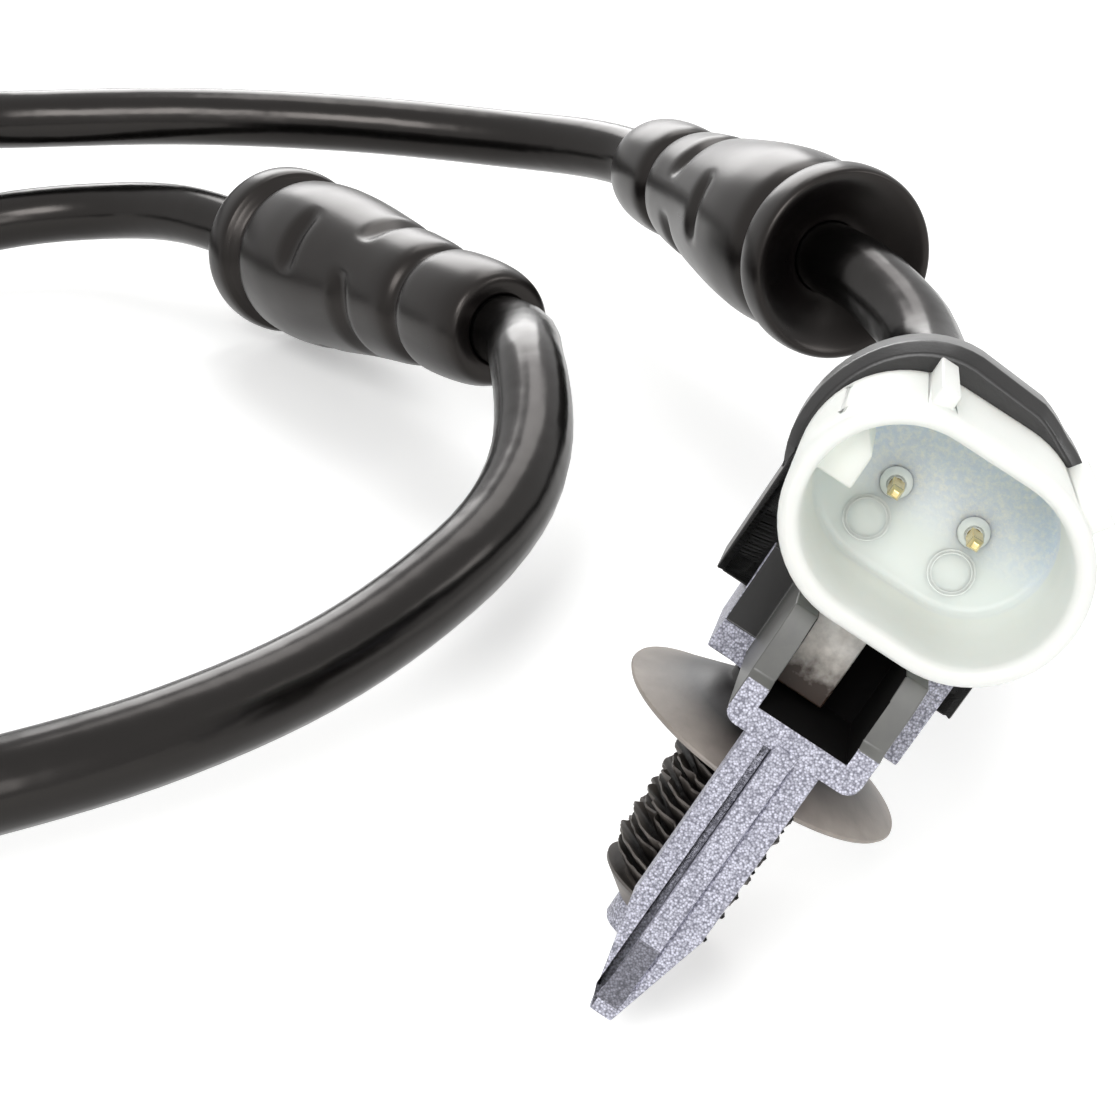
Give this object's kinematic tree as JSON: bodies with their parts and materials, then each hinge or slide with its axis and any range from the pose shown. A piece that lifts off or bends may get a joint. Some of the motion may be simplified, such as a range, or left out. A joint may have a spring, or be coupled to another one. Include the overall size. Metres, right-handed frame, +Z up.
{
  "type": "brake pad wear sensor",
  "caption": "Electrical connector on a push-in clip, a jacketed cable with moulded rubber grommets and a wear sensor head at the far end.",
  "frame": {"origin": "on the surface that the part lies on, under the middle of the connector group", "axes": "+Z up, -Y the way the connector's mouth faces, +X to the right seen into the mouth"},
  "size_m": [0.1421, 0.128, 0.0359],
  "materials": {
    "natural_nylon": "translucent natural moulding",
    "black_nylon": "satin",
    "grey_nylon": "fine sparkle texture",
    "gold_brass": "gold plated",
    "copper": "bright",
    "core_insulation": "smooth",
    "silicone": "matte",
    "cable_jacket": "glossy",
    "black_rubber": "soft satin",
    "spring_steel": "bright"
  },
  "bodies": {
    "root": {"connector_housing": "natural_nylon", "terminal_pin_1": "gold_brass", "terminal_pin_2": "gold_brass", "core_1": "core_insulation", "core_2": "core_insulation", "copper_end_1": "copper", "copper_end_2": "copper", "wire_seal": "silicone", "rear_shell": "black_nylon", "strain_relief": "black_rubber", "clip_base": "grey_nylon", "fir_tree_stud": "black_nylon", "cable_jacket": "cable_jacket", "grommet_a": "black_rubber", "grommet_b": "black_rubber", "head_collar": "black_rubber", "sensor_head_body": "black_nylon", "head_core_1": "core_insulation", "head_core_2": "core_insulation", "wear_loop": "copper", "spring_clip": "spring_steel"}
  },
  "joints": []
}
